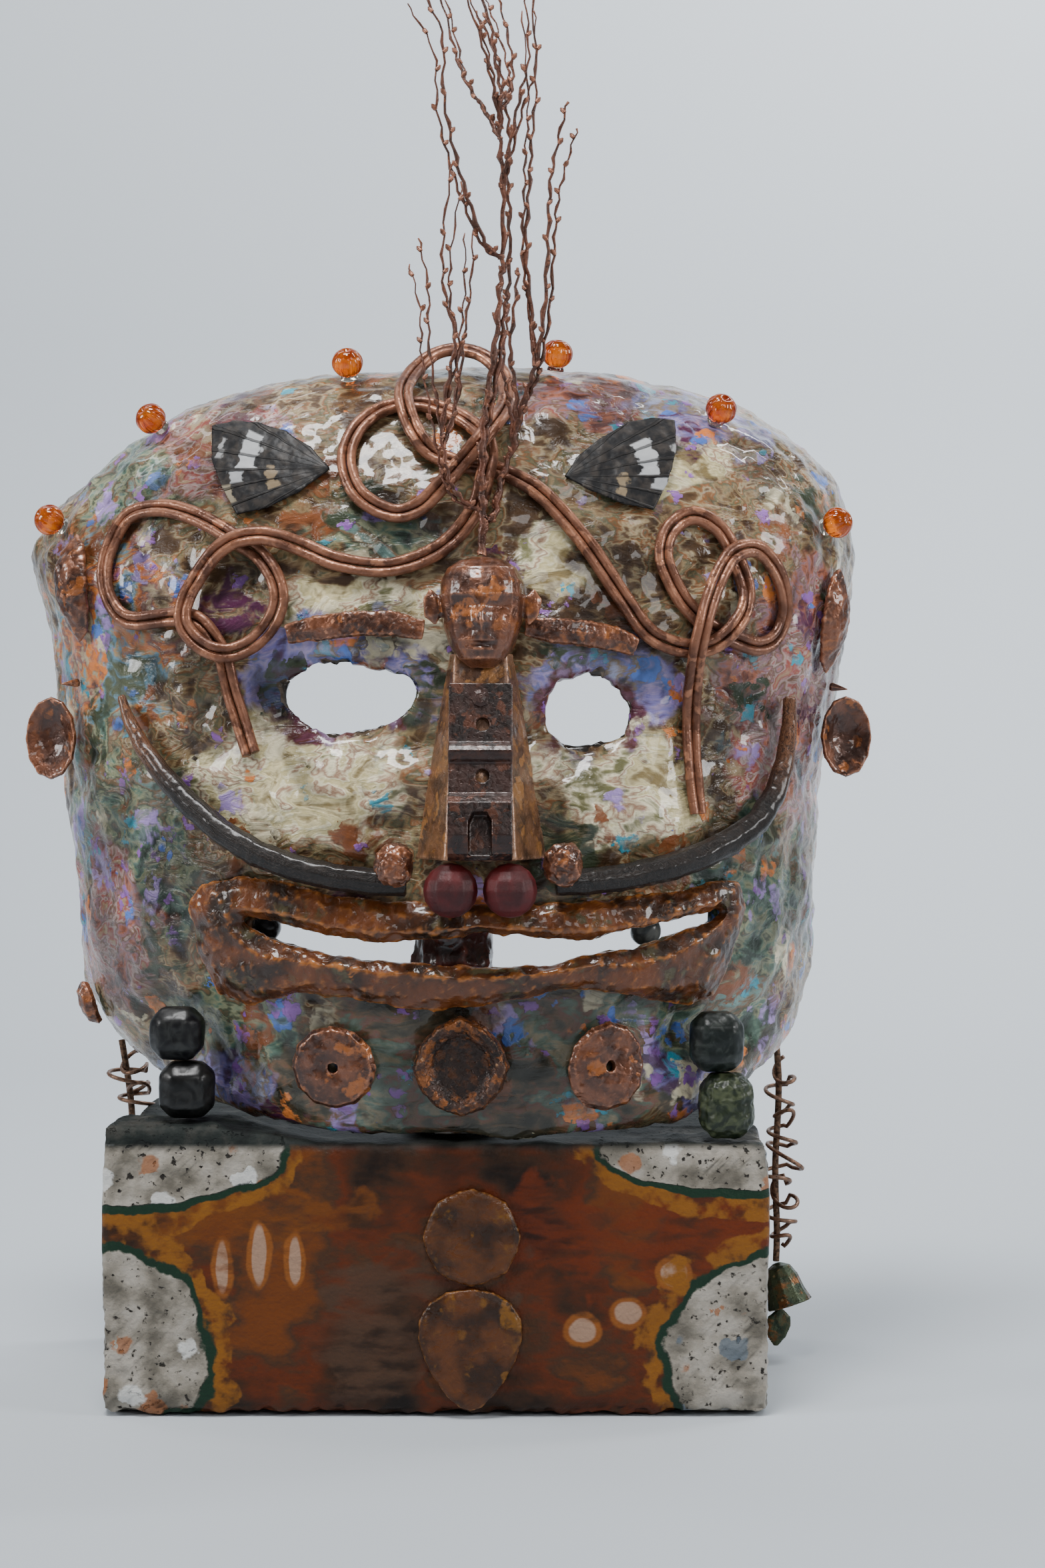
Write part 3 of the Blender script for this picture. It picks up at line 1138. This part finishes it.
# %% Stones
# Dark and light colour, roughness, relief as (texture, lump size, height), slot
STONES = {
    "stone_left_low": ((0.003, 0.003, 0.003), (0.014, 0.014, 0.013), 0.32, [], "black_stone"),
    "stone_left_high": ((0.003, 0.003, 0.004), (0.020, 0.021, 0.020), 0.34, [], "black_stone"),
    "stone_right_low": ((0.008, 0.014, 0.006), (0.060, 0.072, 0.036), 0.38, [("VORONOI", 2.2, 0.9)],
                        "green_stone"),
    "stone_right_high": ((0.004, 0.007, 0.006), (0.030, 0.036, 0.032), 0.34, [("CLOUDS", 5, 0.5)],
                         "green_stone"),
    "corner_bead_left": ((0.010, 0.010, 0.012), (0.03, 0.03, 0.035), 0.18, [], "black_stone"),
    "corner_bead_right": ((0.09, 0.10, 0.10), (0.20, 0.21, 0.20), 0.23, [], "black_stone")}
# A second melting that pulls more than it pushes, and so wears the corners round
STONE_ROUNDING, STONE_PUSH = 60, -0.38
for node, (dark, light, roughness, reliefs, slot) in STONES.items():
    finish, tree, shader, where = new_material(f"{node} stone", Roughness=roughness, Specular_IOR_Level=0.35)
    veins = speckle(tree, where, 0.004, 6.0, 1.2)
    feed(tree, shader, blend(tree, spread(tree, veins, 0.40, 0.72), dark, light))
    raise_bump(tree, shader, veins, 0.0001)
    stone = refine(node, 0.0005, 20)
    melt(stone, STONE_ROUNDING, push=STONE_PUSH)
    press(stone, "CLOUDS", 0.007, 0.0007)
    for kind, size, height in reliefs:
        press(stone, kind, size * MM, height * MM)
    hand_over(stone, [node], finish)
print("stones:", len(STONES))

# %% [markdown]
# What shows behind the mouth is a lumpy, dark red post with a glossy skin, like wax.

# %% The post
wax = patina_material(
    "dark red wax", 0.009,
    [(0.085, 0.014, 0.010), (0.34, 0.085, 0.055), (0.022, 0.006, 0.005), (0.15, 0.035, 0.020)],
    0.45, 0.0, 0.0004, Coat_Weight=0.8, Coat_Roughness=0.1)
post = refine("support_post", 0.0009, 12)
press(post, "CLOUDS", 0.007, 0.0028)
press(post, "CLOUDS", 0.0025, 0.0008)
hand_over(post, ["support_post"], wax)

# %% [markdown]
# The block is light porous stone. Its middle is painted in rust browns and worn thin, its corners are left
# pale and full of pores, with a green line and a yellow glow where the two meet, and its top is dark and
# rippled.

# %% The shape of the block
HALF_WIDTH, HALF_DEPTH = 0.101, 0.055
# Pale corners: middle across, middle up, half width, half height, in metres
CORNERS = [(-0.104, 0.079, 0.058, 0.015), (0.099, 0.079, 0.050, 0.011), (-0.107, 0.020, 0.038, 0.029),
           (0.106, 0.019, 0.037, 0.029)]
FOOT_HEIGHT, FOOT_BLEND = 0.003, 0.004
FRONT_PART = -0.02
TOP_FROM = 0.079
CHIP_HEIGHT, CHIP_DEPTH = 0.007, 0.010


def pale(x, y, z):
    best = 0.0
    for cx, cz, a, b in CORNERS:
        best = max(best, 1.35 - math.hypot((x - cx) / a, (z - cz) / b) * 1.2)
    return best if z > FOOT_HEIGHT and y < FRONT_PART else 0.0


def lower_edge(x, y, z):
    return max(1 - z / CHIP_HEIGHT, 0) * max(1 - (y + HALF_DEPTH) / CHIP_DEPTH, 0)


block = refine("block", 0.0015, 5)
mark(block, "pale", pale)
mark(block, "upper", lambda x, y, z: 1.0 if z > TOP_FROM else 0.0)
mark(block, "sides", lambda x, y, z: min(max((z - FOOT_HEIGHT) / FOOT_BLEND, 0), 1))
press(block, "CLOUDS", 0.014, 0.0012, middle=0.7, group="sides")
press(block, "CLOUDS", 0.003, 0.0016, middle=0.75, group="pale", hard=True)
press(block, "CLOUDS", 0.008, 0.0012, middle=0.7, group="upper")
mark(block, "lower edge", lower_edge)
press(block, "CLOUDS", 0.007, 0.0070, middle=0.80, group="lower edge")
points = points_of(block)
points[:, 0] = np.clip(points[:, 0], -HALF_WIDTH, HALF_WIDTH)
points[:, 1] = np.clip(points[:, 1], -HALF_DEPTH, HALF_DEPTH)
points[:, 2] = np.maximum(points[:, 2], 0)
set_points(block, points)
print("block:", len(block.data.polygons), "faces")

# %% [markdown]
# The paint of the block is built up as by hand: the rust browns, a few larger stains, the pale strokes and
# dots each with a yellow edge, the bare stone with its pores and specks, the lines round it, and last the
# dark top.

# %% Paint for the block
RUSTS = [(0.008, 0.004, 0.0022), (0.034, 0.014, 0.006), (0.060, 0.015, 0.004), (0.090, 0.018, 0.0035),
         (0.048, 0.021, 0.009), (0.120, 0.032, 0.005)]
BARE_STONE = [(0.11, 0.098, 0.078), (0.25, 0.225, 0.185), (0.36, 0.33, 0.285)]
SLATE = [(0.003, 0.004, 0.004), (0.008, 0.011, 0.010), (0.014, 0.018, 0.016), (0.036, 0.036, 0.031)]
PORE, GREEN_LINE, YELLOW_GLOW = (0.022, 0.018, 0.014), (0.006, 0.024, 0.012), (0.20, 0.075, 0.008)
SPECKS = [(0.28, 0.105, 0.038), (0.10, 0.13, 0.16), (0.60, 0.60, 0.58)]
# Middle across, middle up, half width, half height, in metres, and colour
STAINS = [(-0.060, 0.062, 0.036, 0.009, (0.13, 0.038, 0.005)),
          (0.062, 0.056, 0.040, 0.015, (0.12, 0.020, 0.003)),
          (-0.015, 0.030, 0.034, 0.022, (0.060, 0.031, 0.018))]
# Strokes and dots of pale paint: middle across, middle up, half width, half height, in metres
STROKES = [(-0.064, 0.046, 0.0019, 0.0080), (-0.053, 0.050, 0.0019, 0.0085), (-0.042, 0.047, 0.0018, 0.0075),
           (0.044, 0.026, 0.0036, 0.0032), (0.058, 0.032, 0.0038, 0.0034), (0.072, 0.043, 0.0034, 0.0034)]
# How much wider each coat of a stroke is, and its colour
STROKE_COATS = [(0.0016, (0.22, 0.070, 0.012)), (0.0, (0.31, 0.20, 0.14))]
# How much wider than the bare corners the stone, its green line and the yellow glow reach
RIMS = (0.0, 0.0026, 0.0085)
PAINT_DEPTH = 0.090

stone_paint, tree, shader, where = new_material("painted stone", Specular_IOR_Level=0.22)
streaks = speckle(tree, stretch(tree, where, (0.35, 1, 1)), 0.0050, 6.0, 0.3)
washes = speckle(tree, where, 0.034, 7.0, 0.25)
fray = speckle(tree, where, 0.016, 5.0)


def front_patch(place, grow, ragged):
    """Where a patch on the front lies: middle across and up, half width and height, and how much wider."""
    x, z, half_width, half_height = place
    return patch_mask(tree, where, (x, -HALF_DEPTH, z), (half_width + grow, PAINT_DEPTH, half_height + grow),
                      fray, ragged)


rust = palette(tree, spread(tree, weigh(tree, washes, streaks, 0.78), 0.36, 0.64), RUSTS)
for *place, tint in STAINS:
    share = times(tree, front_patch(place, 0, 3.0), spread(tree, streaks, 0.36, 0.60, 0.15, 0.85))
    rust = blend(tree, share, rust, tint)
for place in STROKES:
    for grow, tint in STROKE_COATS:
        share = times(tree, front_patch(place, grow, 1.4), spread(tree, streaks, 0.30, 0.50, 0.25, 0.9))
        rust = blend(tree, share, rust, tint)
pores = speckle(tree, where, 0.0021, 5.0)
bare = palette(tree, spread(tree, speckle(tree, where, 0.011, 5.0), 0.32, 0.66), BARE_STONE)
above = axes_of(tree, where)[2]
high_up = spread(tree, above, 0.050, 0.070, 0.0, 0.025)
bare = blend(tree, spread(tree, calculate(tree, "SUBTRACT", pores, high_up), 0.37, 0.32), bare, PORE)
for number, tint in enumerate(SPECKS):
    dab = scatter(tree, where, 0.0085, 0.7, 0.11, 0.5 + 0.3 * number)
    bare = blend(tree, times(tree, dab["Mask"], 0.8), bare, tint)
rims = []
for grow in RIMS:
    whole = front_patch(CORNERS[0], grow, 0.5)
    for place in CORNERS[1:]:
        whole = calculate(tree, "MAXIMUM", whole, front_patch(place, grow, 0.5))
    rims.append(spread(tree, whole, 0.42, 0.58))
glow = times(tree, rims[2], spread(tree, speckle(tree, where, 0.007), 0.40, 0.56))
tone = blend(tree, glow, rust, YELLOW_GLOW)
tone = blend(tree, rims[1], tone, GREEN_LINE)
tone = blend(tree, rims[0], tone, bare)
topside = spread(tree, above, 0.0795, 0.0825)
slate = palette(tree, spread(tree, speckle(tree, where, 0.010, 5.0), 0.32, 0.68), SLATE)
tone = blend(tree, topside, tone, slate)
dirt = spread(tree, standing_out(tree), 0.46, 0.505, 0.35, 1.0)
feed(tree, shader, darken(tree, tone, dirt), spread(tree, topside, 0.0, 1.0, 0.44, 0.70))
grit = plus(tree, streaks, speckle(tree, where, 0.0012, 4.0))
pits = times(tree, spread(tree, pores, 0.30, 0.40), rims[0])
raise_bump(tree, shader, plus(tree, pits, times(tree, grit, 0.5)), 0.0007)
hand_over(block, ["block"], stone_paint)
print("stains and strokes:", len(STAINS) + len(STROKES))

# %% [markdown]
# The wings are dried insect wings, laid flat on the paint. Veins fan out from the root, so they follow the
# angle round it. Pale bands lie across them at set distances from it.

# %% The wings
# Root, across and above, and which way across the wing points
WINGS = {"wing_left": ((-32, 202), -1), "wing_right": ((39, 199.5), 1)}
VEINS = 13
VEIN_PACE = 2.6
# A band's nearest and furthest distance from the root in metres, its lowest and highest angle, and its colour
BANDS = [(0.0225, 0.0290, 0.02, 0.50, (0.44, 0.45, 0.46)), (0.0265, 0.0315, -0.14, 0.02, (0.36, 0.37, 0.38)),
         (0.0160, 0.0195, -0.34, 0.10, (0.23, 0.17, 0.10)),
         (0.0300, 0.0350, -0.34, -0.12, (0.26, 0.22, 0.15)),
         (0.0340, 0.0365, 0.12, 0.34, (0.30, 0.30, 0.30))]
BAND_EDGE, FAN_EDGE = 0.0008, 0.03
BAND_RAGGED = 0.006


def within_band(tree, value, low, high, edge):
    """Where a value lies between two others, with soft edges."""
    return times(tree, spread(tree, value, low, low + edge), spread(tree, value, high, high - edge))


for node, (root, ahead) in WINGS.items():
    wing_skin, tree, shader, where = new_material(f"{node} skin", Roughness=0.45, Specular_IOR_Level=0.25)
    across, _, above = axes_of(tree, calculate_vector(tree, "SUBTRACT", where, at(*root, 0)))
    forward = times(tree, across, ahead)
    angle = calculate(tree, "ARCTAN2", above, forward)
    reach = calculate(tree, "SQRT", plus(tree, times(tree, forward, forward), times(tree, above, above)))
    wobble = times(tree, speckle(tree, where, 0.006, 2.0), 0.05)
    beat = calculate(tree, "SINE", times(tree, plus(tree, angle, wobble), VEIN_PACE * VEINS))
    vein = spread(tree, beat, 0.80, 0.97)
    dust = speckle(tree, where, 0.0030, 4.0)
    tone = blend(tree, spread(tree, dust, 0.4, 0.7), (0.006, 0.006, 0.007), (0.032, 0.026, 0.022))
    ragged = plus(tree, reach, times(tree, calculate(tree, "SUBTRACT", dust, 0.5), BAND_RAGGED))
    for near, far, angle_low, angle_high, tint in BANDS:
        band = within_band(tree, ragged, near, far, BAND_EDGE)
        fan = within_band(tree, angle, angle_low, angle_high, FAN_EDGE)
        tone = blend(tree, times(tree, times(tree, band, fan), 0.9), tone, tint)
    feed(tree, shader, blend(tree, times(tree, vein, 0.75), tone, (0.012, 0.010, 0.009)))
    raise_bump(tree, shader, plus(tree, vein, times(tree, dust, 0.4)), 0.0005)
    wing = refine(node, 0.00045, 4)
    press(wing, "CLOUDS", 0.006, 0.0008, middle=0.3)
    hand_over(wing, [node], wing_skin)
print("wings ready")

# %% [markdown]
# A pale sheet that bends up behind the object is floor and background in one, as in a photographer's
# studio. A soft key light hangs above in front, with a weak one beside the camera and a fill at each side.
# Two more are aimed at the sheet behind, the right one stronger, because the background is brighter there.

# %% The studio
SHEET_SIZE, SHEET_MIDDLE, SHEET_HEIGHT = 8.0, -2.6, 3.0
BEND_WIDTH, BEND_SEGMENTS = 0.6, 16
sheet_paint, tree, shader, where = new_material("pale sheet", Roughness=0.9, Base_Color=(0.46, 0.50, 0.54, 1))
bpy.ops.mesh.primitive_plane_add(size=SHEET_SIZE, location=(0, SHEET_MIDDLE, 0))
floor = bpy.context.object
floor.name = "pale_sheet"
bpy.ops.object.transform_apply(location=True, rotation=False, scale=False)
bpy.ops.object.mode_set(mode="EDIT")
bpy.ops.mesh.select_all(action="DESELECT")
bpy.ops.object.mode_set(mode="OBJECT")
for edge in floor.data.edges:
    edge.select = all(floor.data.vertices[i].co.y > SHEET_MIDDLE for i in edge.vertices)
bpy.ops.object.mode_set(mode="EDIT")
bpy.ops.mesh.select_mode(type="EDGE")
bpy.ops.mesh.extrude_region_move(TRANSFORM_OT_translate={"value": (0, 0, SHEET_HEIGHT)})
bpy.ops.object.mode_set(mode="OBJECT")
bend = floor.modifiers.new("bend", "BEVEL")
bend.width = BEND_WIDTH
bend.segments = BEND_SEGMENTS
bend.limit_method = "ANGLE"
apply_modifier(floor, bend)
bpy.ops.object.shade_smooth()
floor.data.materials.append(sheet_paint)

# Name: place, what it is aimed at, size and power
LIGHTS = {"key": ((-0.15, -0.42, 1.25), (0, -0.04, 0.22), 0.35, 15),
          "front": ((0.40, -1.30, 0.80), (0, -0.05, 0.20), 0.40, 3),
          "right_fill": ((1.05, -0.40, 0.55), (0, 0, 0.22), 0.35, 7),
          "left_fill": ((-1.05, -0.40, 0.55), (0, 0, 0.22), 0.35, 7),
          "backdrop_left": ((-0.7, 0.40, 1.5), (-0.3, 1.5, 0.9), 0.7, 11),
          "backdrop_right": ((0.9, 0.40, 1.6), (0.7, 1.5, 1.15), 0.7, 52)}
WORLD_COLOUR, WORLD_STRENGTH = (0.84, 0.84, 0.85, 1), 0.20
for name, (place, aim, size, power) in LIGHTS.items():
    bpy.ops.object.light_add(type="AREA", location=place)
    lamp = bpy.context.object
    lamp.name = name
    lamp.data.size = size
    lamp.data.energy = power
    lamp.rotation_euler = (Vector(aim) - Vector(place)).to_track_quat("-Z", "Y").to_euler()
world = bpy.context.scene.world or bpy.data.worlds.new("studio")
bpy.context.scene.world = world
world.use_nodes = True
world.node_tree.nodes["Background"].inputs[0].default_value = WORLD_COLOUR
world.node_tree.nodes["Background"].inputs[1].default_value = WORLD_STRENGTH
print("studio ready, lights:", len(LIGHTS))
